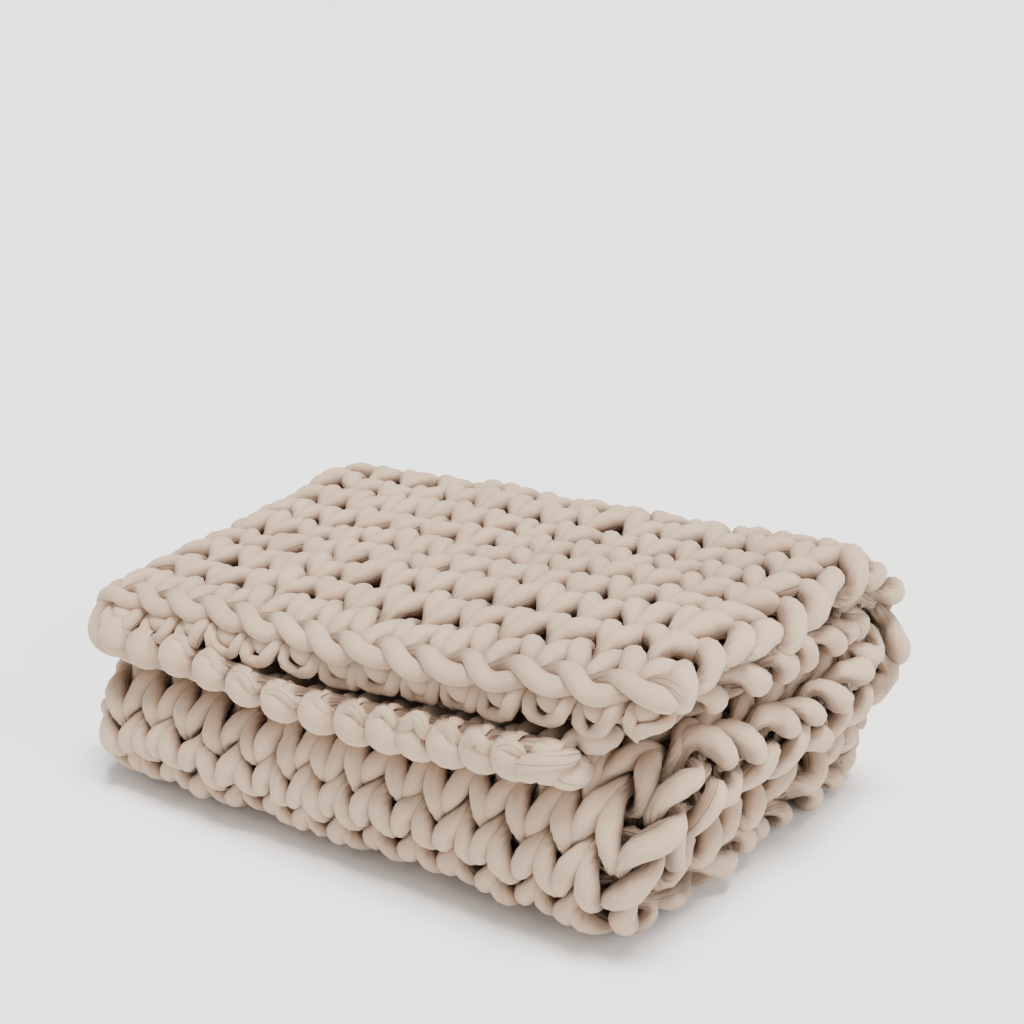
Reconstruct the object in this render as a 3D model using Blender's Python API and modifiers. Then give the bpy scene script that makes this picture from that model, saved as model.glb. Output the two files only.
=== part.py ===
"""Knitted weighted blanket, folded in half lengthwise and then in an S of three double layers.

One closed cloth: the two plies are one sheet that turns round the lengthwise fold at the left, so
the solid is a hairpin in section and runs back and forth through the front fold and the back fold.
X is the width, Y the depth (front at low Y), Z is up, and the origin is under the stack's middle.
"""

import math

import bmesh
import bpy

HALF_WIDTH = 0.555  # from the lengthwise fold to the selvedges, along the cloth
STACK_DEPTH = 0.361
PLY_THICKNESS = 0.035
PLY_GAP = 0.003
LAYER_GAP = 0.003
RIM_ROUNDING = 0.012
RIM_SEGMENTS = 2
RIM_ANGLE = math.radians(60)

PLY_OFFSET = (PLY_THICKNESS + PLY_GAP) / 2
LAYER_THICKNESS = 2 * PLY_THICKNESS + PLY_GAP
FOLD_RADIUS = (LAYER_THICKNESS + LAYER_GAP) / 2
FOLD_REACH = FOLD_RADIUS + LAYER_THICKNESS / 2
STACK_HEIGHT = 3 * LAYER_THICKNESS + 2 * LAYER_GAP
STACK_WIDTH = LAYER_THICKNESS / 2 + HALF_WIDTH - math.pi / 2 * PLY_OFFSET

BOTTOM_END = 0.355  # where the bottom layer stops at the back

# name, cells along the run
RUNS = (
    ("bottom", 5),
    ("front fold", 10),
    ("middle", 4),
    ("back fold", 10),
    ("top", 4),
    ("hang", 6),
)
FLAT_CELLS = 6
HAIRPIN_CELLS = 10

# ply of the top layer: how far its free front corner is pulled in towards the lengthwise fold
FREE_CORNERS = {"under": 0.055, "upper": -0.006}
CORNER_REACH_X = 0.30
CORNER_REACH_Y = 0.13

# past the front fold's middle the top layer bends down over its shoulder, each ply on its own radius
TOP_HANG = 0.0825
HANG_RADIUS = {"under": 0.0955, "upper": 0.177}
HANG_REACH_X = 0.26
LEAST_BEND = 0.01

# corner of the stack as right, back and level, then how far the settled cloth sits from the square stack
SETTLING = (
    ("front left foot", 0, 0, 0, 0.016, -0.021, 0.000),
    ("front right foot", 1, 0, 0, -0.042, -0.008, 0.000),
    ("back right foot", 1, 1, 0, -0.034, 0.008, 0.000),
    ("back left foot", 0, 1, 0, 0.000, 0.007, 0.000),
    ("front left middle", 0, 0, 1, 0.019, -0.006, -0.029),
    ("front right middle", 1, 0, 1, -0.013, 0.001, 0.004),
    ("back right middle", 1, 1, 1, 0.020, 0.010, 0.002),
    ("back left middle", 0, 1, 1, -0.001, 0.010, -0.009),
    ("front left top", 0, 0, 2, 0.021, 0.015, -0.059),
    ("front right top", 1, 0, 2, 0.006, 0.007, 0.010),
    ("back right top", 1, 1, 2, 0.005, -0.010, 0.004),
    ("back left top", 0, 1, 2, 0.012, 0.009, -0.019),
)

OATMEAL_COTTON = (0.47, 0.37, 0.29, 1.0)
COTTON_ROUGHNESS = 0.9


def clear_scene():
    for item in list(bpy.data.objects):
        bpy.data.objects.remove(item, do_unlink=True)


def smooth(value):
    value = min(max(value, 0.0), 1.0)
    return value * value * (3 - 2 * value)


def across_stations():
    """Places across the cloth, from one selvedge round the hairpin to the other."""
    hairpin = math.pi / 2 * PLY_OFFSET
    flat = [hairpin + (HALF_WIDTH - hairpin) * i / FLAT_CELLS for i in range(FLAT_CELLS + 1)]
    turn = [hairpin * i / (HAIRPIN_CELLS // 2) for i in range(1 - HAIRPIN_CELLS // 2, HAIRPIN_CELLS // 2)]
    return [-place for place in reversed(flat)] + turn + flat


def along_stations():
    """(run, share of it) for each station along the S, from the bottom end to the top end."""
    stations = [(0, 0.0)]
    for index, (_, cells) in enumerate(RUNS):
        stations += [(index, (i + 1) / cells) for i in range(cells)]
    return stations


def hairpin_section(across):
    """X and the offset from the double layer's middle; the under ply of the top layer is positive."""
    hairpin = math.pi / 2 * PLY_OFFSET
    centre = LAYER_THICKNESS / 2
    if abs(across) >= hairpin:
        return centre + abs(across) - hairpin, math.copysign(PLY_OFFSET, across)
    angle = across / PLY_OFFSET
    return centre - PLY_OFFSET * math.cos(angle), PLY_OFFSET * math.sin(angle)


def s_path(run, share, offset):
    """Y and Z on the S-shaped path, at an offset to its outside in the front fold."""
    low = LAYER_THICKNESS / 2
    front, back = FOLD_REACH, STACK_DEPTH - FOLD_REACH
    if run == 0:
        return BOTTOM_END + (front - BOTTOM_END) * share, low - offset
    if run == 1:
        angle, reach = math.pi * share, FOLD_RADIUS + offset
        return front - reach * math.sin(angle), low + FOLD_RADIUS - reach * math.cos(angle)
    if run == 2:
        return front + (back - front) * share, low + 2 * FOLD_RADIUS + offset
    if run == 3:
        angle, reach = math.pi * share, FOLD_RADIUS - offset
        return back + reach * math.sin(angle), low + 3 * FOLD_RADIUS - reach * math.cos(angle)
    return back + (front - back) * share, low + 4 * FOLD_RADIUS - offset


def hang_bend(x, offset):
    """One over the radius that a ply of the top layer bends on; nearly straight at the lengthwise fold."""
    under, upper = 1 / HANG_RADIUS["under"], 1 / HANG_RADIUS["upper"]
    along_edge = smooth((x - LAYER_THICKNESS / 2) / HANG_REACH_X)
    return ((under + upper) / 2 + (under - upper) / 2 * offset / PLY_OFFSET) * along_edge + LEAST_BEND


def hanging_point(x, share, offset):
    """Y and Z past the front fold's middle, on an arc round the fold's shoulder."""
    bend, reach = hang_bend(x, offset), TOP_HANG * share
    top = LAYER_THICKNESS / 2 + 4 * FOLD_RADIUS - offset
    return FOLD_REACH - math.sin(bend * reach) / bend, top - (1 - math.cos(bend * reach)) / bend


def corner_pull(x, y, offset):
    """The top layer's two plies slide apart towards their free front corner."""
    pull = FREE_CORNERS["under" if offset > 0 else "upper"]
    near = smooth(1 - y / CORNER_REACH_Y) * abs(offset) / PLY_OFFSET
    return pull * near * smooth(1 - (STACK_WIDTH - x) / CORNER_REACH_X)


def sheet_point(across, run, share):
    x, offset = hairpin_section(across)
    on_top = RUNS[run][0] in ("top", "hang")
    y, z = hanging_point(x, share, offset) if RUNS[run][0] == "hang" else s_path(run, share, offset)
    return x - (corner_pull(x, y, offset) if on_top else 0.0), y, z


def folded_sheet():
    """The cloth's middle surface: one grid, folded."""
    columns, rows = across_stations(), along_stations()
    mesh = bpy.data.meshes.new("knitted_blanket")
    grid = bmesh.new()
    bmesh.ops.create_grid(grid, x_segments=len(columns) - 1, y_segments=len(rows) - 1, size=0.5)
    for vertex in grid.verts:
        column = round((vertex.co.x + 0.5) * (len(columns) - 1))
        row = round((vertex.co.y + 0.5) * (len(rows) - 1))
        vertex.co = sheet_point(columns[column], *rows[row])
    grid.to_mesh(mesh)
    grid.free()
    return bpy.data.objects.new("knitted_blanket", mesh)


def settling_lattice():
    """A box of twelve points that leans and squashes the square stack as the heavy cloth settles."""
    data = bpy.data.lattices.new("settling")
    data.points_u = data.points_v = 2
    data.points_w = 3
    data.interpolation_type_u = data.interpolation_type_v = data.interpolation_type_w = "KEY_LINEAR"
    size = (STACK_WIDTH, STACK_DEPTH, STACK_HEIGHT)
    cell = (STACK_WIDTH, STACK_DEPTH, STACK_HEIGHT / 2)
    for _, right, back, level, *shift in SETTLING:
        point = data.points[right + 2 * back + 4 * level]
        point.co_deform = [co + move / length for co, move, length in zip(point.co, shift, cell)]
    cage = bpy.data.objects.new("settling", data)
    cage.scale = cell
    cage.location = [length / 2 for length in size]
    cage.display_type = "WIRE"
    cage.hide_render = True
    return cage


def cotton():
    material = bpy.data.materials.new("oatmeal cotton")
    material.use_nodes = True
    shader = material.node_tree.nodes["Principled BSDF"]
    shader.inputs["Base Color"].default_value = OATMEAL_COTTON
    shader.inputs["Roughness"].default_value = COTTON_ROUGHNESS
    shader.inputs["Metallic"].default_value = 0.0
    return material


def centre_on_base(blanket, cage):
    """Moves the settled cloth so that the origin is under the middle of its box."""
    bpy.context.view_layer.update()
    corners = blanket.evaluated_get(bpy.context.evaluated_depsgraph_get()).bound_box
    low = [min(corner[axis] for corner in corners) for axis in range(3)]
    high = [max(corner[axis] for corner in corners) for axis in range(3)]
    for item in (blanket, cage):
        item.location.x -= (low[0] + high[0]) / 2
        item.location.y -= (low[1] + high[1]) / 2


def build_blanket(parts, guides):
    blanket = folded_sheet()
    cage = settling_lattice()
    parts.objects.link(blanket)
    guides.objects.link(cage)
    blanket.data.materials.append(cotton())

    thickness = blanket.modifiers.new("ply thickness", "SOLIDIFY")
    thickness.thickness = PLY_THICKNESS
    thickness.offset = 0.0
    thickness.use_even_offset = True

    rim = blanket.modifiers.new("soft rim", "BEVEL")
    rim.width = RIM_ROUNDING
    rim.segments = RIM_SEGMENTS
    rim.limit_method = "ANGLE"
    rim.angle_limit = RIM_ANGLE

    settle = blanket.modifiers.new("settle", "LATTICE")
    settle.object = cage

    blanket.data.shade_smooth()
    centre_on_base(blanket, cage)


def main():
    clear_scene()
    parts = bpy.data.collections.new("weighted_blanket")
    guides = bpy.data.collections.new("guides")
    bpy.context.scene.collection.children.link(parts)
    bpy.context.scene.collection.children.link(guides)
    build_blanket(parts, guides)


main()
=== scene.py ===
import math

import bpy
import numpy as np
from bpy.props import FloatProperty, FloatVectorProperty, IntProperty, PointerProperty
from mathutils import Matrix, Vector


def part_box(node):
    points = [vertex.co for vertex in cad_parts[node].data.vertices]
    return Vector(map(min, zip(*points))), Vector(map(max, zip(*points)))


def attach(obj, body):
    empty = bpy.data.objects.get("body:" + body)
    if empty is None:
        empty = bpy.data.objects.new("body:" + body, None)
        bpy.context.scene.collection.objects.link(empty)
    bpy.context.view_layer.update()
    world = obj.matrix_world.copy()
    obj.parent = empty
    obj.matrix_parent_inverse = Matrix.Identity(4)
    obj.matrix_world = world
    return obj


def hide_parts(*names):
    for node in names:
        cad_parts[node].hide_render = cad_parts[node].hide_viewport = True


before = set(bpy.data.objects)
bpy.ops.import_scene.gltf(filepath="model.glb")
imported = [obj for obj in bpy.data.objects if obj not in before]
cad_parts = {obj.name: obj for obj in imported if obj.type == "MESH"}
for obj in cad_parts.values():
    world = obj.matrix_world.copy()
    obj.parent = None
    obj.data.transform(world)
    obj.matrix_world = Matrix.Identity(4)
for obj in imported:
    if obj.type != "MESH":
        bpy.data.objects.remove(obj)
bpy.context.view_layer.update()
CAD_LOW, CAD_HIGH = (np.array(corner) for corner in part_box("knitted_blanket"))

bl_info = {
    "name": "Folded Knit Blanket",
    "version": (1, 0, 0),
    "blender": (4, 5, 0),
    "location": "View3D > Sidebar > Blanket",
    "description": "Knits a chunky tube-yarn blanket stitch by stitch and folds it into a stack",
    "category": "Object",
}

BLANKET_NODE = "knitted_blanket"
FULL_TURN = 2 * math.pi
ROW_PIECES = 5
TABLE_STEPS = 48
EDGE_TURN_BULGE = 0.20  # in rows
EDGE_TURN_RINGS = 12
LINK_RINGS = 18
KNOT_RINGS = 150
LARGEST_CURL = 2.4
STRETCH_WINDOW = 25
JERSEY_RADIUS = 0.011  # of the tube that the yarn's UV map is laid on
CAMERA_AZIMUTH, CAMERA_ELEVATION, CAMERA_DISTANCE = math.radians(35.564), math.radians(18.335), 1.870
CAMERA_AIM = (-0.2570, 0.3983, 0.0780)
CAMERA_LENS = 61.8152  # mm, on a 36 mm wide sensor

# ply of the top layer: how far its free front corner is pulled in towards the lengthwise fold
FREE_CORNERS = {"under": 0.055, "upper": -0.006}
CORNER_REACH_X = 0.30
CORNER_REACH_Y = 0.13

# past the front fold's middle the top layer bends down over its shoulder, each ply on its own radius
HANG_RADIUS = {"under": 0.0955, "upper": 0.177}
HANG_REACH_X = 0.26
LEAST_BEND = 0.01

# corner of the stack as right, back and level, then how far the settled cloth sits from the square stack
SETTLING = (
    ("front left foot", 0, 0, 0, 0.016, -0.021, 0.000),
    ("front right foot", 1, 0, 0, -0.042, -0.008, 0.000),
    ("back right foot", 1, 1, 0, -0.034, 0.008, 0.000),
    ("back left foot", 0, 1, 0, 0.000, 0.007, 0.000),
    ("front left middle", 0, 0, 1, 0.019, -0.006, -0.029),
    ("front right middle", 1, 0, 1, -0.013, 0.001, 0.004),
    ("back right middle", 1, 1, 1, 0.020, 0.010, 0.002),
    ("back left middle", 0, 1, 1, -0.001, 0.010, -0.009),
    ("front left top", 0, 0, 2, 0.021, 0.015, -0.059),
    ("front right top", 1, 0, 2, 0.006, 0.007, 0.010),
    ("back right top", 1, 1, 2, 0.005, -0.010, 0.004),
    ("back left top", 0, 1, 2, 0.012, 0.009, -0.019),
)


class FoldSettings(bpy.types.PropertyGroup):
    half_width: FloatProperty(
        name="Half Width",
        description="Cloth from the lengthwise fold to a selvedge",
        default=0.555,
        unit="LENGTH",
    )
    depth: FloatProperty(
        name="Depth", description="Stack from front fold to back fold", default=0.361, unit="LENGTH"
    )
    ply: FloatProperty(name="Ply", description="Thickness of one ply", default=0.035, unit="LENGTH")
    gap: FloatProperty(
        name="Gap", description="Air between plies and between layers", default=0.003, unit="LENGTH"
    )
    bottom_end: FloatProperty(
        name="Bottom End",
        description="Where the bottom layer stops at the back",
        default=0.355,
        unit="LENGTH",
    )
    hang: FloatProperty(
        name="Hang", description="Top layer past the middle of the front fold", default=0.0825, unit="LENGTH"
    )
    rim: FloatProperty(name="Rim", description="Radius the edges roll over", default=0.013, unit="LENGTH")
    proud: FloatProperty(
        name="Proud", description="Rims stand past the plain cloth", default=0.006, unit="LENGTH"
    )
    slip: FloatProperty(
        name="Slip",
        description="How far the plies slide over each other at a fold, 0 stretches them and 1 slides them",
        default=0.8,
        subtype="FACTOR",
    )


class KnitSettings(bpy.types.PropertyGroup):
    columns: IntProperty(name="Columns", description="Stitches across the whole sheet", default=29)
    rows: IntProperty(name="Rows", description="Rows along the sheet", default=28)
    rim_roll: FloatProperty(
        name="Rim Roll",
        description="How far the edge stitches roll over the rim",
        default=1.75,
        unit="ROTATION",
    )
    yarn_radius: FloatProperty(
        name="Yarn Radius", description="Fullest radius of the stuffed yarn", default=0.0120, unit="LENGTH"
    )
    leaf_taper: FloatProperty(
        name="Leaf Taper", description="How thin the yarn is drawn between legs", default=0.48
    )
    slack: FloatProperty(
        name="Slack", description="Air beside touching yarn", default=0.0006, unit="LENGTH"
    )
    stitch_spread: FloatProperty(name="Stitch Spread", description="How much stitches differ", default=0.26)
    skew: FloatProperty(
        name="Skew", description="Right legs ride this far over left ones, in rows", default=0.07
    )
    edge_loop_up: FloatProperty(
        name="Edge Loop Up",
        description="Open loops of the edge over the cloth's middle",
        default=0.0100,
        unit="LENGTH",
    )
    edge_loop_dive: FloatProperty(
        name="Edge Loop Dive",
        description="Their legs under it, below the chain",
        default=0.004,
        unit="LENGTH",
    )
    edge_loop_radius: FloatProperty(
        name="Edge Loop Radius", description="Yarn drawn thin in an edge loop", default=0.0058, unit="LENGTH"
    )
    edge_loop_reach: FloatProperty(
        name="Edge Loop Reach", description="How far they hang out, in rows", default=0.12
    )
    loop_width: FloatProperty(
        name="Loop Width", description="Sideways swing of a loop, in columns", default=0.25
    )
    loop_height: FloatProperty(
        name="Loop Height", description="Half height of a loop, in rows", default=0.88
    )
    loop_depth: FloatProperty(
        name="Loop Depth", description="Swing of a loop through the cloth", default=0.0088, unit="LENGTH"
    )
    unevenness: FloatProperty(
        name="Unevenness", description="How far hand-knitted stitches wander", default=0.0068, unit="LENGTH"
    )
    chain_radius: FloatProperty(
        name="Chain Radius", description="Strand of the bound edge", default=0.0080, unit="LENGTH"
    )
    chain_lay: FloatProperty(
        name="Chain Lay", description="Strand from the chain's middle", default=0.0032, unit="LENGTH"
    )
    chain_out: FloatProperty(
        name="Chain Out", description="Chain past the start of the rim", default=0.0052, unit="LENGTH"
    )
    chain_up: FloatProperty(
        name="Chain Up", description="Chain over the cloth's middle", default=0.0110, unit="LENGTH"
    )
    pad_radius: FloatProperty(
        name="Pad Radius", description="Yarn in the edge loops", default=0.0086, unit="LENGTH"
    )
    pad_under: FloatProperty(
        name="Pad Under", description="How much fuller the under ply's are", default=0.0072, unit="LENGTH"
    )
    pad_out: FloatProperty(
        name="Pad Out", description="Pads past the start of the rim", default=0.0178, unit="LENGTH"
    )
    pad_up: FloatProperty(
        name="Pad Up", description="Pads over the cloth's middle", default=0.0010, unit="LENGTH"
    )
    knot_size: FloatProperty(
        name="Knot Size", description="Turns of a corner knot from its middle", default=0.0145, unit="LENGTH"
    )
    knot_radius: FloatProperty(
        name="Knot Radius", description="Yarn of a corner knot", default=0.0100, unit="LENGTH"
    )
    knot_in: FloatProperty(
        name="Knot In", description="Knot past the start of the side rim", default=-0.004, unit="LENGTH"
    )
    knot_out: FloatProperty(
        name="Knot Out", description="Knot past the start of the end rim", default=0.0150, unit="LENGTH"
    )
    knot_up: FloatProperty(
        name="Knot Up", description="Knot over the cloth's middle", default=0.0060, unit="LENGTH"
    )
    fine_steps: IntProperty(name="Fine Steps", description="Rings in a stitch that shows", default=42)
    coarse_steps: IntProperty(
        name="Coarse Steps", description="Rings in a stitch inside the stack", default=18
    )
    sides: IntProperty(name="Sides", description="Points round the yarn", default=14)


class CottonSettings(bpy.types.PropertyGroup):
    light: FloatVectorProperty(
        name="Light",
        description="Cotton on the crowns of the yarn",
        default=(0.50, 0.360, 0.252),
        subtype="COLOR",
    )
    # Painted shade: this darker colour is mixed into the cotton's own light colour in the gathers, at pinches
    # and where yarn touches yarn, besides random tone and the seams
    shade_and_tone: FloatVectorProperty(
        name="Shade and Tone", description="Cotton in the gathers", default=(0.12, 0.068, 0.040), subtype="COLOR"
    )


def smooth(value):
    value = np.clip(value, 0.0, 1.0)
    return value * value * (3 - 2 * value)


class Fold:
    """Carries a point of the flat sheet (across, along, height over the cloth's middle) to the stack."""

    def __init__(self, settings):
        self.half_width, self.depth = settings.half_width, settings.depth
        self.bottom_end, self.hang = settings.bottom_end, settings.hang
        self.slip = settings.slip
        self.offset = (settings.ply + settings.gap) / 2
        self.layer = 2 * settings.ply + settings.gap
        self.radius = (self.layer + settings.gap) / 2
        self.reach = self.radius + self.layer / 2
        self.hairpin = math.pi / 2 * self.offset
        self.width = self.layer / 2 + self.half_width - self.hairpin
        self.height = 3 * self.layer + 2 * settings.gap
        self.front, self.back = self.reach, self.depth - self.reach
        self.length = (
            (self.bottom_end - self.front)
            + 2 * (self.back - self.front)
            + 2 * math.pi * self.radius
            + self.hang
        )
        self.rim = settings.rim
        self.rim_across = self.half_width + settings.proud - self.rim - settings.ply / 2
        self.rim_start = self.rim + settings.ply / 2 - settings.proud
        self.rim_end = self.length - self.rim_start
        self.shift = np.zeros(3)
        plain = self.on_stack(
            np.linspace(-self.half_width, self.half_width, 75)[:, None, None],
            np.linspace(0, self.length, 150)[None, :, None],
            np.array([-settings.ply / 2, settings.ply / 2]),
        ).reshape(-1, 3)
        self.shift = ((CAD_LOW + CAD_HIGH - plain.min(axis=0) - plain.max(axis=0)) / 2) * (1, 1, 0)

    def curl(self, place, height, start):
        """Past the start the cloth rolls a quarter turn or so over its rim, towards the purl side."""
        angle = np.clip((place - start) / self.rim, 0, None)
        rolled = start + (self.rim + height) * np.sin(np.minimum(angle, LARGEST_CURL))
        dropped = (self.rim + height) * np.cos(np.minimum(angle, LARGEST_CURL)) - self.rim
        return np.where(angle > 0, rolled, place), np.where(angle > 0, dropped, height)

    def section(self, across, height):
        """X, the offset in the double layer, and the offset of the ply's middle."""
        centre = self.layer / 2
        flat = np.abs(across) >= self.hairpin
        side = np.sign(across)
        angle = np.clip(across / self.offset, -math.pi / 2, math.pi / 2)
        span = self.offset + height
        x = np.where(flat, centre + np.abs(across) - self.hairpin, centre - span * np.cos(angle))
        offset = np.where(flat, side * span, span * np.sin(angle))
        middle = np.where(flat, side * self.offset, self.offset * np.sin(angle))
        return x, offset, middle

    def hang_bend(self, x, middle):
        """One over the radius a ply of the top layer bends on; nearly straight at the lengthwise fold."""
        under, upper = 1 / HANG_RADIUS["under"], 1 / HANG_RADIUS["upper"]
        bend = (under + upper) / 2 + (under - upper) / 2 * middle / self.offset
        return bend * smooth((x - self.layer / 2) / HANG_REACH_X) + LEAST_BEND

    def path(self, x, along, offset, middle):
        """Y and Z on the S, and 1 in the top layer."""
        low = self.layer / 2
        runs = (
            self.bottom_end - self.front + 0 * middle,
            math.pi * (self.radius + self.slip * middle),
            self.back - self.front + 0 * middle,
            math.pi * (self.radius - self.slip * middle),
            self.back - self.front + self.hang + 0 * middle,
        )
        x, along, offset, middle = np.broadcast_arrays(x, along, offset, middle)
        starts = np.cumsum([0 * middle, *(run + 0 * middle for run in runs)], axis=0)
        share = [(along - start) / run for start, run in zip(starts, runs)]
        turn_1, turn_2 = math.pi * share[1], math.pi * share[3]
        around_1, around_2 = self.radius + offset, self.radius - offset
        over = share[4] * runs[4] - self.back + self.front
        bend, lift = self.hang_bend(x, middle), middle - offset
        turn_3 = bend * np.clip(over, 0, None)
        y = (
            self.bottom_end + (self.front - self.bottom_end) * share[0],
            self.front - around_1 * np.sin(turn_1),
            self.front + (self.back - self.front) * share[2],
            self.back + around_2 * np.sin(turn_2),
            self.front - np.minimum(over, 0) - (1 / bend + lift) * np.sin(turn_3),
        )
        z = (
            low - offset,
            low + self.radius - around_1 * np.cos(turn_1),
            low + 2 * self.radius + offset,
            low + 3 * self.radius - around_2 * np.cos(turn_2),
            low + 4 * self.radius - middle - (1 - np.cos(turn_3)) / bend + lift * np.cos(turn_3),
        )
        run = np.clip(sum((along >= start).astype(int) for start in starts[1:5]), 0, 4)
        return np.choose(run, y), np.choose(run, z), run == 4

    def corner_pull(self, x, y, middle):
        """The top layer's two plies slide apart towards their free front corner."""
        pull = np.where(middle > 0, FREE_CORNERS["under"], FREE_CORNERS["upper"])
        near = smooth(1 - y / CORNER_REACH_Y) * np.abs(middle) / self.offset
        return pull * near * smooth(1 - (self.width - x) / CORNER_REACH_X)

    def settle(self, points):
        share = np.clip(points / (self.width, self.depth, self.height), 0, 1)
        moved = points.copy()
        for _, right, back, level, *shift in SETTLING:
            weight = np.abs(1 - right - share[..., 0]) * np.abs(1 - back - share[..., 1])
            weight = weight * np.clip(1 - np.abs(2 * share[..., 2] - level), 0, 1)
            moved += weight[..., None] * shift
        return moved

    def on_stack(self, across, along, height):
        x, offset, middle = self.section(across, height)
        y, z, on_top = self.path(x, along, offset, middle)
        x = x - self.corner_pull(x, y, middle) * on_top
        return self.settle(np.stack(np.broadcast_arrays(x, y, z), axis=-1)) + self.shift

    def place(self, across, along, height):
        along, height = self.curl(along, height, self.rim_end)
        start, height = self.curl(-along, height, -self.rim_start)
        along = -start
        side, height = self.curl(np.abs(across), height, self.rim_across)
        return self.on_stack(side * np.where(across < 0, -1, 1), along, height)


def soft_noise(seed, across, along):
    """Smooth noise from -1 to 1 with one cell a unit."""
    grid = np.random.default_rng(seed).uniform(-1, 1, (64, 64))
    i, j = np.floor(across).astype(int), np.floor(along).astype(int)
    u, v = smooth(across - i), smooth(along - j)
    corner = [grid[(i + a) % 64, (j + b) % 64] for a in (0, 1) for b in (0, 1)]
    return (corner[0] * (1 - u) + corner[2] * u) * (1 - v) + (corner[1] * (1 - u) + corner[3] * u) * v


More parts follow.
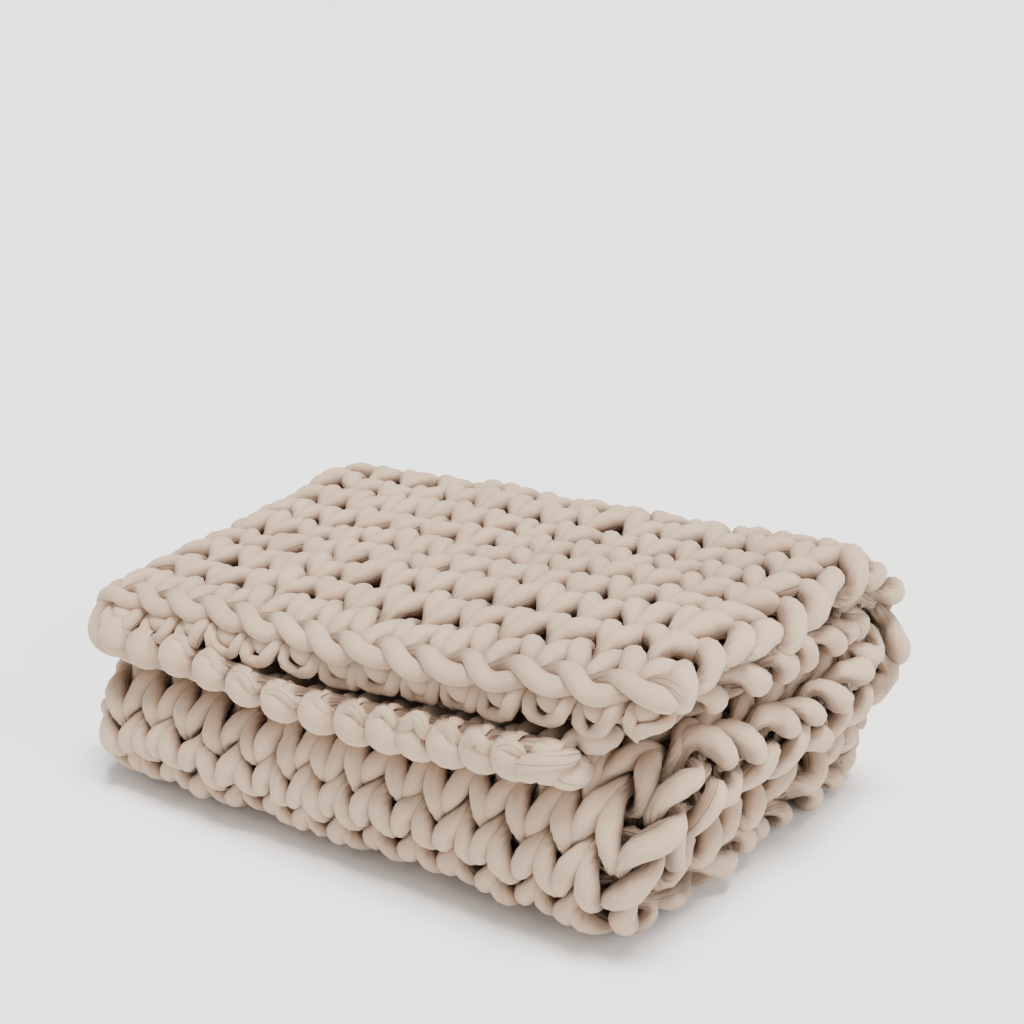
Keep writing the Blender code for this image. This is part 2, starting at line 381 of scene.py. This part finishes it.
class Knit:
    """The yarn's way through the flat sheet, and how fat it can be beside its neighbours."""

    def __init__(self, settings, fold):
        self.set = settings
        self.edge = fold.rim_across + settings.rim_roll * fold.rim
        self.column = 2 * self.edge / settings.columns
        self.first = fold.rim_start - settings.rim_roll * fold.rim
        self.row = (fold.rim_end + settings.rim_roll * fold.rim - self.first) / (
            settings.rows - 1 + 2 * settings.loop_height
        )
        self.sides = settings.sides
        self.table, self.contact = self.plump_table()

    def row_middle(self, row):
        return self.first + self.row * (row + self.set.loop_height)

    def stitch(self, turn):
        """Across, along and height from the stitch's middle; the turn runs from -pi to pi, head at 0."""
        s = self.set
        across = self.column * (turn / FULL_TURN + s.loop_width * np.sin(2 * turn))
        along = self.row * s.loop_height * np.cos(turn)
        return across, along, -s.loop_depth * np.cos(2 * turn)

    def plump_table(self):
        """Radius and contact by turn and side: as full as the yarn gets before it meets the next half way.
        The contact darkens the cotton as painted shade where yarn presses on yarn.
        """
        s = self.set
        turns = np.linspace(-math.pi, math.pi, TABLE_STEPS, endpoint=False)
        here = np.stack(self.stitch(turns), axis=-1)
        ahead = np.stack(self.stitch(turns + 0.01), axis=-1)
        tangent = ahead - here
        tangent /= np.linalg.norm(tangent, axis=-1, keepdims=True)
        up = np.array([0, 0, 1.0]) - tangent[:, 2:] * tangent
        up /= np.linalg.norm(up, axis=-1, keepdims=True)
        side = np.cross(tangent, up)
        angles = np.arange(self.sides) / self.sides * FULL_TURN
        rays = np.cos(angles)[None, :, None] * up[:, None] + np.sin(angles)[None, :, None] * side[:, None]
        room = np.full((TABLE_STEPS, self.sides), 1.0)
        for step_across in (-1, 0, 1):
            for step_along in (-2, -1, 0, 1, 2):
                other = here + (step_across * self.column, step_along * self.row, 0)
                gap = other[None] - here[:, None]
                distance = np.sum(gap**2, axis=-1)
                same = (distance < (1.7 * s.yarn_radius) ** 2) & (step_along == 0)
                facing = np.einsum("ijk,ilk->ilj", gap, rays)
                half_way = distance[:, None, :] / np.maximum(2 * facing, 1e-9)
                reach = np.where((facing > 1e-5) & ~same[:, None, :], half_way, 1.0)
                room = np.minimum(room, reach.min(axis=-1))
        room = np.maximum(room - s.slack, 0.002)
        full = s.yarn_radius * self.leaf(turns)[:, None]
        # the second value is painted shade: how far the colour darkens where yarn meets yarn
        return (full**-5.0 + room**-5.0) ** (-1 / 5), smooth((1.3 - room / full) / 0.45)

    def leaf(self, turn):
        """A leg is fullest above its middle and drawn to a point where it dives under its neighbours."""
        taper = self.set.leaf_taper
        return 1 - taper * np.abs(np.cos(turn)) ** 1.2 + 0.12 * taper * np.cos(turn)

    def wander(self, across, along, height, share=1.0):
        """Hand knitting: stitches drift, lean and swell a little."""
        a, b = across / self.column, along / self.row
        amount = self.set.unevenness * share
        fine = amount * (1 + 0.7 * smooth(1 - (self.edge - np.abs(across)) / (2 * self.column)))
        across = across + 0.8 * amount * soft_noise(1, a / 2.7, b / 2.7)
        across = across + 0.5 * fine * soft_noise(2, a * 1.4, b * 1.4)
        along = along + 0.8 * amount * soft_noise(3, a / 2.3, b / 2.3)
        along = along + 0.5 * fine * soft_noise(4, a * 1.4, b * 1.4)
        height = height + 0.4 * amount * soft_noise(5, a / 3.1, b / 3.1)
        height = height + 0.45 * fine * soft_noise(6, a * 1.2, b * 1.2)
        return across, along, height

    def uneven_yarn(self, route):
        """Stuffing is never even: the yarn swells, and a side of it bulges or sags."""
        a, b = route[:, 0] / self.column * 2.1, route[:, 1] / self.row * 2.1
        swell = 0.13 * soft_noise(7, a, b)[:, None]
        angles = np.arange(self.sides) / self.sides * FULL_TURN
        lean = FULL_TURN * soft_noise(8, a / 2, b / 2)[:, None]
        gather = 0.11 * (0.5 + 0.5 * np.cos(2 * route[:, 3]))[:, None] * (1 + np.cos(4 * angles + 5 * lean))
        lopsided = 0.06 * np.cos(angles - lean) + 0.045 * np.cos(2 * angles + 1.7 * lean)
        return 1 + swell + lopsided - gather - 0.09 * np.cos(angles) ** 2

    def row_yarn(self, row, steps):
        """One row from edge to edge: place, turn (for the table) and how far it is an open edge loop."""
        s = self.set
        places = np.concatenate([column + np.arange(count) / count for column, count in enumerate(steps)])
        turn = FULL_TURN * (places % 1) - math.pi
        swing = 1 + s.stitch_spread * soft_noise(21, places, row + 0 * places)
        reach = 1 + 0.5 * s.stitch_spread * soft_noise(22, places, row + 0 * places)
        across = -self.edge + self.column * (places + s.loop_width * swing * np.sin(2 * turn))
        along = self.row * (s.loop_height * reach * np.cos(turn) + s.skew * np.sin(turn))
        height = -s.loop_depth * np.cos(2 * turn)
        outward = {0: -1, s.rows - 1: 1}.get(row, 0) * np.cos(turn)
        dive, rise = smooth(outward / 0.4), smooth((outward - 0.5) / 0.38)
        along = along + self.row * s.edge_loop_reach * smooth((outward - 0.3) / 0.7) * (1 if row else -1)
        height = height * (1 - dive) + dive * (s.edge_loop_up * rise - s.edge_loop_dive * (1 - rise))
        loose = smooth((outward - 0.2) / 0.35)
        return np.stack([across, along + self.row_middle(row), height, turn, loose], axis=-1)

    def edge_turn(self, row, side, steps):
        """The yarn climbs from a row to the next round the selvedge."""
        share = (np.arange(steps) + 0.5) / steps
        bulge = EDGE_TURN_BULGE * self.row
        across = side * (self.edge + bulge * np.sin(math.pi * share))
        start = self.row_middle(row) - self.row * self.set.loop_height
        along = start + self.row * (1 - np.cos(math.pi * share)) / 2
        height = -self.set.loop_depth + 0.6 * self.set.loop_depth * np.sin(math.pi * share)
        return np.stack([across, along, height, np.full(steps, -math.pi), 0 * share], axis=-1)


def lay_tube(name, route, radii, pinch, contact, fold):
    """A closed tube along a route of the flat sheet, folded, with its radius given by ring and side."""
    across, along, height = route[:, 0], route[:, 1], route[:, 2]
    centre = fold.place(across, along, height)
    lift = 0.002
    up = fold.place(across, along, height + lift) - fold.place(across, along, height - lift)
    steps = np.linalg.norm(np.diff(centre, axis=0), axis=1)
    flat_steps = np.linalg.norm(np.diff(route, axis=0), axis=1)
    window = np.full(STRETCH_WINDOW, 1 / STRETCH_WINDOW)
    stretch = np.convolve(np.append(steps / flat_steps, 1.0), window, mode="same")
    radii = radii * np.clip(stretch, 0.8, 1.5)[:, None] ** -0.6
    return tube(name, centre, up, radii, pinch, contact)


def tube(name, centre, up, radii, pinch, contact):
    """A closed tube round a line of points, its first side turned to the line's own up."""
    tangent = np.gradient(centre, axis=0)
    tangent /= np.linalg.norm(tangent, axis=1, keepdims=True) + 1e-12
    up = up - np.sum(up * tangent, axis=1, keepdims=True) * tangent
    up /= np.linalg.norm(up, axis=1, keepdims=True) + 1e-12
    side = np.cross(tangent, up)
    angles = np.arange(radii.shape[1]) / radii.shape[1] * FULL_TURN
    ring = np.cos(angles)[None, :, None] * up[:, None] + np.sin(angles)[None, :, None] * side[:, None]
    points = centre[:, None] + radii[:, :, None] * ring
    points[..., 2] = np.maximum(points[..., 2], 0.0)
    length = np.concatenate([[0], np.cumsum(np.linalg.norm(np.diff(centre, axis=0), axis=1))])
    return tube_mesh(name, points, length, pinch, contact)


def tube_mesh(name, points, length, pinch, contact):
    """Rings of points as one closed skin, with the yarn's own UV map, its pinch and its contact; the material
    darkens the colour by both as painted shade.
    """
    count, sides = points.shape[:2]
    vertices = np.concatenate([points.reshape(-1, 3), points[[0, -1]].mean(axis=1)])
    i, k = np.meshgrid(np.arange(count - 1), np.arange(sides), indexing="ij")
    n = (k + 1) % sides
    here, ahead = i * sides, (i + 1) * sides
    quads = np.stack([here + k, here + n, ahead + n, ahead + k], axis=-1).reshape(-1, 4)
    k = np.arange(sides)
    n = (k + 1) % sides
    first, last, far = count * sides, count * sides + 1, (count - 1) * sides
    caps = np.concatenate(
        [
            np.stack([np.full(sides, first), n, k], axis=-1),
            np.stack([np.full(sides, last), far + k, far + n], axis=-1),
        ]
    )
    mesh = bpy.data.meshes.new(name)
    mesh.from_pydata(vertices.tolist(), [], quads.tolist() + caps.tolist())
    girth = FULL_TURN * JERSEY_RADIUS
    u = np.stack([length[:-1], length[:-1], length[1:], length[1:]], axis=-1)
    u = u[:, None].repeat(sides, axis=1) / girth
    around = np.stack([k, k + 1, k + 1, k], axis=-1)[None].repeat(count - 1, axis=0) / sides
    uv = np.concatenate([np.stack([u, around], axis=-1).reshape(-1, 2), np.zeros((len(caps) * 3, 2))])
    mesh.uv_layers.new(name="yarn").data.foreach_set("uv", uv.astype(np.float32).ravel())
    for label, values in (("pinch", np.repeat(pinch, sides)), ("contact", contact.ravel())):
        values = np.append(values, [1.0, 1.0]).astype(np.float32)
        mesh.attributes.new(label, "FLOAT", "POINT").data.foreach_set("value", values)
    mesh.shade_smooth()
    return mesh


def add_piece(name, mesh, material):
    piece = bpy.data.objects.new(name, mesh)
    bpy.context.scene.collection.objects.link(piece)
    mesh.materials.append(material)
    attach(piece, "root")
    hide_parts(BLANKET_NODE)
    return piece


def knit_rows(name, knit, fold, rows, material):
    s = knit.set
    lines = []
    for row in rows:
        steps = [s.fine_steps if shows(column, row, s) else s.coarse_steps for column in range(s.columns)]
        forward = row % 2 == 0
        line = knit.row_yarn(row, steps)
        lines.append(np.column_stack([line if forward else line[::-1], np.full(len(line), not forward)]))
        if row != rows[-1]:
            turn = knit.edge_turn(row, 1 if forward else -1, EDGE_TURN_RINGS)
            lines.append(np.column_stack([turn, np.zeros(len(turn))]))
    route = np.concatenate(lines)
    turn, loose, backwards = route[:, 3], route[:, 4:5], route[:, 5] > 0.5
    place = (turn + math.pi) / FULL_TURN * TABLE_STEPS
    low = np.floor(place).astype(int)
    share = (place - low)[:, None]
    skins = []
    for table in (knit.table, knit.contact):
        skin = table[low % TABLE_STEPS] * (1 - share) + table[(low + 1) % TABLE_STEPS] * share
        skins.append(np.where(backwards[:, None], skin[:, (-np.arange(knit.sides)) % knit.sides], skin))
    radii = skins[0] * (1 - loose) + s.edge_loop_radius * loose
    radii = radii * knit.uneven_yarn(route)
    # pinch peaks where the legs dive under their neighbours: the material darkens the colour there as painted
    # shade and deepens the gathers' bumps
    pinch = (0.5 + 0.5 * np.cos(2 * turn)) * (1 - 0.95 * loose[:, 0])
    across, along, height = knit.wander(*route[:, :3].T)
    laid = np.stack([across, along, height], axis=-1)
    mesh = lay_tube(name, laid, radii, pinch, skins[1] * (1 - loose), fold)
    return add_piece(name, mesh, material)


def rounded_ends(across):
    """Brings a strand's radius down to a round tip at its two ends."""
    short = np.clip(1 - np.minimum(across - across[0], across[-1] - across) / 0.010, 0, 1)
    return np.sqrt(np.maximum(1 - short**2, 0.003))


def edge_chain(name, knit, fold, end, strand, material):
    """The bound edge: two strands laid round each other, so that a leaf-shaped link shows for each stitch."""
    s = knit.set
    reach = fold.rim_across + 1.1 * fold.rim
    across = np.linspace(-reach, reach, int(2 * reach / knit.column * LINK_RINGS))
    phase = math.pi * across / knit.column + math.pi * strand
    outward = 1 if end else -1
    edge = fold.rim_end if end else fold.rim_start
    along = edge + outward * (s.chain_out + s.chain_lay * np.cos(phase))
    height = s.chain_up + s.chain_lay * np.sin(phase)
    across, along, height = knit.wander(across, along, height, 0.45)
    shown = 0.5 + 0.5 * np.cos(phase - 0.8)
    width = s.chain_radius * (0.80 + 0.20 * smooth(1.25 * shown))
    width = width * (1 + 0.06 * soft_noise(11 + strand, across * 36, along))
    radii = np.repeat((width * rounded_ends(across))[:, None], knit.sides, axis=1)
    route = np.stack([across, along, height], axis=-1)
    # painted shade: the strand's colour darkens where it runs under the other strand
    contact = np.repeat(0.8 * smooth(1 - 1.6 * shown)[:, None], knit.sides, axis=1)
    return add_piece(name, lay_tube(name, route, radii, 0.5 * (1 - shown), contact, fold), material)


def edge_pads(name, knit, fold, end, material):
    """Under the chain each loop of the last row is filled by the yarn that binds it."""
    s = knit.set
    reach = fold.rim_across + 0.6 * fold.rim
    across = np.linspace(-reach, reach, int(2 * reach / knit.column * LINK_RINGS))
    place = (across + knit.edge) / knit.column
    swing = 0.5 + 0.5 * np.cos(FULL_TURN * (place - 0.5))
    outward = 1 if end else -1
    edge = fold.rim_end if end else fold.rim_start
    under_ply = smooth(across / 0.05)
    along = edge + outward * (s.pad_out + 0.0015 * np.sin(FULL_TURN * place))
    height = s.pad_up + s.pad_under * under_ply - 0.007 * (1 - swing)
    across, along, height = knit.wander(across, along, height, 0.6)
    width = (s.pad_radius + s.pad_under * under_ply) * (0.42 + 0.58 * swing**0.6)
    width = width * (1 + 0.12 * soft_noise(13, place * 1.1, place))
    radii = np.repeat((width * rounded_ends(across))[:, None], knit.sides, axis=1)
    route = np.stack([across, along, height], axis=-1)
    # painted shade: the colour darkens between the loops, where they press together
    contact = np.repeat(smooth(1.2 - 2 * swing)[:, None], knit.sides, axis=1)
    return add_piece(name, lay_tube(name, route, radii, 0.7 * (1 - swing), contact, fold), material)


def corner_knot(name, knit, fold, end, side, material):
    """The tail of the bound edge, knotted round itself at a corner."""
    s = knit.set
    outward = 1 if end else -1
    edge = fold.rim_end if end else fold.rim_start
    spot = (side * (fold.rim_across + s.knot_in), edge + outward * s.knot_out, s.knot_up)
    middle, right, down, out = (
        fold.place(*(np.array([place]) for place in np.add(spot, step)))[0]
        for step in ((0, 0, 0), (0.002, 0, 0), (0, 0.002 * outward, 0), (0, 0, 0.002))
    )
    right, down, out = (axis / np.linalg.norm(axis) for axis in (right - middle, down - middle, out - middle))
    turn = np.linspace(0, 2 * FULL_TURN, KNOT_RINGS)[:, None]
    over = 1.5 * turn - math.pi / 2
    arm = s.knot_size * (1 + 0.42 * np.cos(over))
    lift = 0.0075 * np.sin(over)
    centre = middle + arm * (np.cos(turn) * right + np.sin(turn) * down) + lift * out
    width = s.knot_radius * (0.80 + 0.20 * np.sin(over)) * rounded_ends(turn * s.knot_size)
    radii = np.repeat(width, knit.sides, axis=1)
    # pinch darkens the colour as painted shade where the knot passes under its own turns, and deepens its
    # gathers
    pinch = 0.5 - 0.5 * np.sin(over[:, 0])
    up = np.repeat(out[None], KNOT_RINGS, axis=0)
    return add_piece(name, tube(name, centre, up, radii, pinch, 0 * radii), material)


def shows(column, row, settings):
    """Whether a stitch can be seen from outside the stack."""
    edge = min(column, settings.columns - 1 - column) < 3 or abs(column - settings.columns / 2 + 0.5) < 3.5
    end = row < 2 or row > settings.rows - 4
    upper_ply = column < settings.columns / 2
    share = (row + 0.8) / (settings.rows + 0.6)
    outer = (upper_ply and share > 0.58) or (not upper_ply and share < 0.46)
    return edge or end or outer


def add_node(tree, kind, **inputs):
    node = tree.nodes.new(kind)
    for socket, value in inputs.items():
        name = socket.replace("_", " ")
        if isinstance(value, bpy.types.NodeSocket):
            tree.links.new(value, node.inputs[name])
        else:
            node.inputs[name].default_value = value
    return node


def math_node(tree, operation, *values):
    node = tree.nodes.new("ShaderNodeMath")
    node.operation = operation
    for index, value in enumerate(values):
        if isinstance(value, bpy.types.NodeSocket):
            tree.links.new(value, node.inputs[index])
        else:
            node.inputs[index].default_value = value
    return node.outputs[0]


def jersey_group():
    """Tube jersey: fine ribs along the yarn, gathers where it is pinched and a seam here and there; the
    colour is darkened as painted shade in the gathers, at pinches and where yarn touches yarn.
    """
    tree = bpy.data.node_groups.new("cotton jersey", "ShaderNodeTree")
    face = tree.interface
    for name, low in (("Rib Count", 90.0), ("Gathers", 1.0), ("Seam", 1.0)):
        face.new_socket(name, in_out="INPUT", socket_type="NodeSocketFloat").default_value = low
    for name in ("Light", "Shade and Tone"):
        face.new_socket(name, in_out="INPUT", socket_type="NodeSocketColor")
    face.new_socket("Color", in_out="OUTPUT", socket_type="NodeSocketColor")
    face.new_socket("Height", in_out="OUTPUT", socket_type="NodeSocketFloat")
    face.new_socket("Roughness", in_out="OUTPUT", socket_type="NodeSocketFloat")
    inputs = tree.nodes.new("NodeGroupInput").outputs
    outputs = tree.nodes.new("NodeGroupOutput").inputs

    uv = tree.nodes.new("ShaderNodeUVMap")
    uv.uv_map = "yarn"
    split = add_node(tree, "ShaderNodeSeparateXYZ", Vector=uv.outputs["UV"])
    along, around = split.outputs["X"], split.outputs["Y"]
    pinch = tree.nodes.new("ShaderNodeAttribute")
    pinch.attribute_name = "pinch"
    pinch = pinch.outputs["Fac"]
    contact = tree.nodes.new("ShaderNodeAttribute")
    contact.attribute_name = "contact"
    contact = contact.outputs["Fac"]
    place = tree.nodes.new("ShaderNodeTexCoord").outputs["Object"]

    circle = math_node(tree, "MULTIPLY", around, FULL_TURN)
    ring_x = math_node(tree, "COSINE", circle)
    ring_y = math_node(tree, "SINE", circle)
    gathered = add_node(tree, "ShaderNodeCombineXYZ", Y=ring_x, Z=ring_y)
    tree.links.new(math_node(tree, "MULTIPLY", along, 0.7), gathered.inputs["X"])
    folds = add_node(
        tree, "ShaderNodeTexNoise", Vector=gathered.outputs[0], Scale=1.35, Detail=2.0, Roughness=0.5
    )
    ridge = math_node(tree, "ABSOLUTE", math_node(tree, "SUBTRACT", folds.outputs["Fac"], 0.5))
    crease = math_node(tree, "SMOOTH_MIN", math_node(tree, "MULTIPLY", ridge, 12.0), 1.0, 0.3)
    crease = math_node(tree, "SUBTRACT", 1.0, crease)
    held = math_node(tree, "ADD", math_node(tree, "MULTIPLY", pinch, 1.1), 0.12)
    held = math_node(tree, "POWER", held, 1.2)
    crease = math_node(tree, "MULTIPLY", math_node(tree, "MULTIPLY", crease, held), inputs["Gathers"])

    ribs = math_node(tree, "SINE", math_node(tree, "MULTIPLY", circle, inputs["Rib Count"]))
    fuzz = add_node(tree, "ShaderNodeTexNoise", Vector=place, Scale=900.0, Detail=2.0)
    lumps = add_node(tree, "ShaderNodeTexNoise", Vector=place, Scale=85.0, Detail=2.0)

    drift = add_node(tree, "ShaderNodeTexNoise", Vector=gathered.outputs[0], Scale=0.35)
    seam_at = math_node(tree, "MULTIPLY", drift.outputs["Fac"], 0.5)
    off_seam = math_node(tree, "ABSOLUTE", math_node(tree, "SUBTRACT", around, seam_at))
    seam = math_node(tree, "SUBTRACT", 1.0, math_node(tree, "MULTIPLY", off_seam, 130.0))
    seam = math_node(tree, "MAXIMUM", seam, 0.0)
    seam = math_node(tree, "MULTIPLY", seam, inputs["Seam"])

    height = math_node(tree, "MULTIPLY", crease, -0.62)
    relief = ((ribs, 0.018), (fuzz.outputs["Fac"], 0.05), (lumps.outputs["Fac"], 0.35), (seam, -0.35))
    for part, share in relief:
        height = math_node(tree, "ADD", height, math_node(tree, "MULTIPLY", part, share))
    tree.links.new(height, outputs["Height"])

    tone = add_node(tree, "ShaderNodeTexNoise", Vector=place, Scale=11.0, Detail=3.0)
    shade = math_node(tree, "MULTIPLY", math_node(tree, "SUBTRACT", tone.outputs["Fac"], 0.35), 0.55)
    # painted shade: crease, pinch and contact darken the cotton colour in the gathers and where yarn meets
    # yarn; the tone noise and the seam are the cotton's own
    for part, share in ((crease, 0.26), (seam, 0.34), (pinch, 0.16), (contact, 0.62)):
        shade = math_node(tree, "ADD", shade, math_node(tree, "MULTIPLY", part, share))
    shade = math_node(tree, "MINIMUM", math_node(tree, "MAXIMUM", shade, 0.0), 1.0)
    mix = tree.nodes.new("ShaderNodeMix")
    mix.data_type = "RGBA"
    tree.links.new(shade, mix.inputs["Factor"])
    tree.links.new(inputs["Light"], mix.inputs["A"])
    tree.links.new(inputs["Shade and Tone"], mix.inputs["B"])
    tree.links.new(mix.outputs["Result"], outputs["Color"])
    rough = math_node(tree, "ADD", math_node(tree, "MULTIPLY", fuzz.outputs["Fac"], 0.12), 0.8)
    tree.links.new(rough, outputs["Roughness"])
    return tree


def cotton_material(settings):
    if "oatmeal cotton jersey" in bpy.data.materials:
        return bpy.data.materials["oatmeal cotton jersey"]
    material = bpy.data.materials.new("oatmeal cotton jersey")
    material.use_nodes = True
    tree = material.node_tree
    shader = tree.nodes["Principled BSDF"]
    shader.inputs["Sheen Weight"].default_value = 0.12
    shader.inputs["Sheen Roughness"].default_value = 0.6
    shader.inputs["Specular IOR Level"].default_value = 0.25
    group = tree.nodes.new("ShaderNodeGroup")
    group.node_tree = jersey_group()
    group.inputs["Light"].default_value = (*settings.light, 1.0)
    group.inputs["Shade and Tone"].default_value = (*settings.shade_and_tone, 1.0)
    bump = add_node(tree, "ShaderNodeBump", Height=group.outputs["Height"], Strength=1.0, Distance=0.0020)
    tree.links.new(group.outputs["Color"], shader.inputs["Base Color"])
    tree.links.new(group.outputs["Roughness"], shader.inputs["Roughness"])
    tree.links.new(bump.outputs["Normal"], shader.inputs["Normal"])
    return material


class BLANKET_OT_rows(bpy.types.Operator):
    """Knit the sheet's rows from selvedge to selvedge and fold them"""

    bl_idname = "blanket.rows"
    bl_label = "Knit Rows"

    def execute(self, context):
        fold = Fold(context.scene.blanket_fold)
        knit = Knit(context.scene.blanket_knit, fold)
        material = cotton_material(context.scene.blanket_cotton)
        rows = knit.set.rows
        for part in range(ROW_PIECES):
            some = range(part * rows // ROW_PIECES, (part + 1) * rows // ROW_PIECES)
            knit_rows(f"yarn_rows_{part + 1}", knit, fold, list(some), material)
        return {"FINISHED"}


class BLANKET_OT_edges(bpy.types.Operator):
    """Bind the cast-on edge and the last row"""

    bl_idname = "blanket.edges"
    bl_label = "Bind Edges"

    def execute(self, context):
        fold = Fold(context.scene.blanket_fold)
        knit = Knit(context.scene.blanket_knit, fold)
        material = cotton_material(context.scene.blanket_cotton)
        for end, label in ((0, "cast_on"), (1, "bound")):
            for strand in (0, 1):
                edge_chain(f"{label}_chain_{strand + 1}", knit, fold, end, strand, material)
            edge_pads(f"{label}_pads", knit, fold, end, material)
            corner_knot(f"{label}_knot", knit, fold, end, 1, material)
        return {"FINISHED"}


class BLANKET_OT_stage(bpy.types.Operator):
    """Make the floor, the studio light and the camera"""

    bl_idname = "blanket.stage"
    bl_label = "Set Stage"

    def execute(self, context):
        bpy.ops.mesh.primitive_plane_add(size=80)
        floor = context.object
        floor.name = "floor"
        material = bpy.data.materials.new("pale floor")
        material.use_nodes = True
        shader = material.node_tree.nodes["Principled BSDF"]
        shader.inputs["Base Color"].default_value = (0.95, 0.95, 0.95, 1.0)
        shader.inputs["Roughness"].default_value = 0.8
        floor.data.materials.append(material)

        for name, place, spread, strength, tint in (
            ("key", (0.22, -0.12, 1.0), 24, 6.9, (1.0, 0.975, 0.94)),
            ("fill", (1.0, -0.20, 0.5), 50, 1.7, (1.0, 1.0, 1.0)),
        ):
            data = bpy.data.lights.new(name, "SUN")
            data.angle = math.radians(spread)
            data.energy = strength
            data.color = tint
            lamp = bpy.data.objects.new(name, data)
            lamp.location = place
            lamp.rotation_euler = aim_at(place, (0, 0, 0))
            context.scene.collection.objects.link(lamp)

        world = bpy.data.worlds.new("studio")
        world.use_nodes = True
        tree = world.node_tree
        tree.nodes["Background"].inputs["Color"].default_value = (1, 1, 1, 1)
        sky = tree.nodes.new("ShaderNodeTexCoord").outputs["Generated"]
        ray = add_node(tree, "ShaderNodeSeparateXYZ", Vector=sky)
        glow = add_node(tree, "ShaderNodeMapRange", Value=ray.outputs["Z"])
        for socket, value in (("From Min", 0.04), ("From Max", 0.22), ("To Min", 2.3), ("To Max", 0.60)):
            glow.inputs[socket].default_value = value
        tree.links.new(glow.outputs["Result"], tree.nodes["Background"].inputs["Strength"])
        context.scene.world = world

        level = math.cos(CAMERA_ELEVATION)
        back = Vector(
            (
                math.sin(CAMERA_AZIMUTH) * level,
                -math.cos(CAMERA_AZIMUTH) * level,
                math.sin(CAMERA_ELEVATION),
            )
        )
        data = bpy.data.cameras.new("camera")
        data.lens = CAMERA_LENS
        camera = bpy.data.objects.new("camera", data)
        camera.location = Vector(CAMERA_AIM) + back * CAMERA_DISTANCE
        camera.rotation_euler = aim_at(camera.location, CAMERA_AIM)
        context.scene.collection.objects.link(camera)
        context.scene.camera = camera
        return {"FINISHED"}


def aim_at(place, target):
    return (Vector(target) - Vector(place)).to_track_quat("-Z", "Y").to_euler()


class BLANKET_PT_panel(bpy.types.Panel):
    bl_idname = "BLANKET_PT_panel"
    bl_label = "Folded Knit Blanket"
    bl_space_type = "VIEW_3D"
    bl_region_type = "UI"
    bl_category = "Blanket"

    def draw(self, context):
        for settings in (context.scene.blanket_fold, context.scene.blanket_knit):
            column = self.layout.column()
            for name in settings.__annotations__:
                column.prop(settings, name)
        self.layout.operator("blanket.rows")
        self.layout.operator("blanket.edges")
        self.layout.operator("blanket.stage")


CLASSES = (
    FoldSettings,
    KnitSettings,
    CottonSettings,
    BLANKET_OT_rows,
    BLANKET_OT_edges,
    BLANKET_OT_stage,
    BLANKET_PT_panel,
)


def register():
    for item in CLASSES:
        bpy.utils.register_class(item)
    bpy.types.Scene.blanket_fold = PointerProperty(type=FoldSettings)
    bpy.types.Scene.blanket_knit = PointerProperty(type=KnitSettings)
    bpy.types.Scene.blanket_cotton = PointerProperty(type=CottonSettings)


def unregister():
    del bpy.types.Scene.blanket_cotton
    del bpy.types.Scene.blanket_knit
    del bpy.types.Scene.blanket_fold
    for item in reversed(CLASSES):
        bpy.utils.unregister_class(item)


def main():
    register()
    bpy.ops.blanket.rows()
    bpy.ops.blanket.edges()
    bpy.ops.blanket.stage()


if __name__ == "__main__":
    main()
